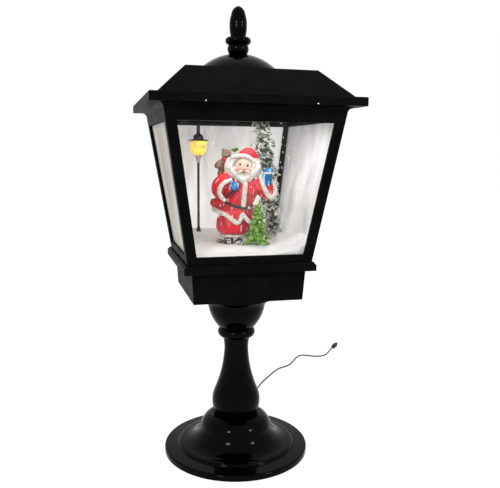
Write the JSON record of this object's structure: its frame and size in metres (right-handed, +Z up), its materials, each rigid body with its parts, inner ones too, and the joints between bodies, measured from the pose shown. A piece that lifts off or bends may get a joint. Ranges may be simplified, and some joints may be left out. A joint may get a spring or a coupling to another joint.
{
  "type": "lantern table lamp",
  "caption": "Black lantern table lamp on a turned pedestal, with glazed tapered sides, a hip roof with finial, a lit snow scene, and a low-voltage lead with a barrel plug.",
  "frame": {"origin": "on the table, under the centre of the round foot", "axes": "+Z up, the clear front window faces -Y, +X to the right seen from the front"},
  "size_m": [0.5139, 0.6119, 0.69],
  "materials": {
    "gloss_black": "high-gloss black lacquer on moulded plastic",
    "satin_black": "satin black painted plastic",
    "inner_black": "plain black moulded plastic",
    "clear_pane": "clear acrylic sheet",
    "frosted_pane": "frosted white acrylic sheet",
    "zinc_steel": "zinc plated",
    "cast_weight": "rough cast",
    "pad_rubber": "soft rubber",
    "base_board": "black moulded disc",
    "board_green": "green circuit board with parts",
    "white_plastic": "white moulded plastic",
    "blower_grey": "grey moulded plastic",
    "motor_metal": "rolled steel can",
    "cord_black": "flexible black cord jacket",
    "snow_white": "sparkling white artificial snow",
    "garland_green": "snow-dusted evergreen garland",
    "tree_green": "bright green small tree",
    "lamp_amber": "glowing amber plastic lens",
    "mini_bronze": "dark bronze painted plastic",
    "coat_red": "painted resin, red",
    "beard_white": "painted resin, white and skin tones",
    "sack_brown": "painted resin, brown"
  },
  "bodies": {
    "lamp": {"foot_shell": "gloss_black", "baluster": "gloss_black", "collar_ring": "gloss_black", "cup": "gloss_black", "finial": "gloss_black", "control_box": "satin_black", "plinth": "satin_black", "front_left_post": "satin_black", "front_right_post": "satin_black", "rear_left_post": "satin_black", "rear_right_post": "satin_black", "bottom_rails": "satin_black", "top_rails": "satin_black", "cornice": "satin_black", "roof_shell": "satin_black", "roof_dome": "satin_black", "ceiling_plate": "inner_black", "switch_body": "inner_black", "cord_gland": "inner_black", "dc_plug": "inner_black", "coil_tie": "inner_black", "front_pane": "clear_pane", "riser_tube": "clear_pane", "left_pane": "frosted_pane", "rear_pane": "frosted_pane", "right_pane": "frosted_pane", "tie_rod": "zinc_steel", "tie_nuts": "zinc_steel", "tie_washers": "zinc_steel", "foot_screws": "zinc_steel", "plinth_screws": "zinc_steel", "post_screws": "zinc_steel", "roof_screws": "zinc_steel", "finial_bolt": "zinc_steel", "foot_weight": "cast_weight", "foot_pads": "pad_rubber", "foot_plate": "base_board", "control_board": "board_green", "light_board": "white_plastic", "snow_deck": "white_plastic", "blower_housing": "blower_grey", "blower_cover": "blower_grey", "blower_motor": "motor_metal", "cord_lead_in": "cord_black", "cord_coil": "cord_black", "cord_lead_out": "cord_black", "supply_lead": "cord_black", "snow_bed": "snow_white", "garland": "garland_green", "small_tree": "tree_green", "mini_lamp_glass": "lamp_amber", "mini_post": "mini_bronze", "mini_lamp_roof": "mini_bronze", "figure_body": "coat_red", "figure_arms": "coat_red", "figure_hat": "coat_red", "figure_head": "beard_white", "figure_sack": "sack_brown"},
    "impeller": {"blower_impeller": "blower_grey"},
    "slider": {"switch_slider": "inner_black"}
  },
  "joints": [
    {"name": "impeller_spin", "type": "hinge", "parent": "lamp", "child": "impeller", "pos_m": [0.04, 0.036, 0.284], "axis": [0, 0, 1], "continuous": true},
    {"name": "switch_slide", "type": "slide", "parent": "lamp", "child": "slider", "axis": [1, 0, 0], "range_m": [0, 0.005]}
  ]
}
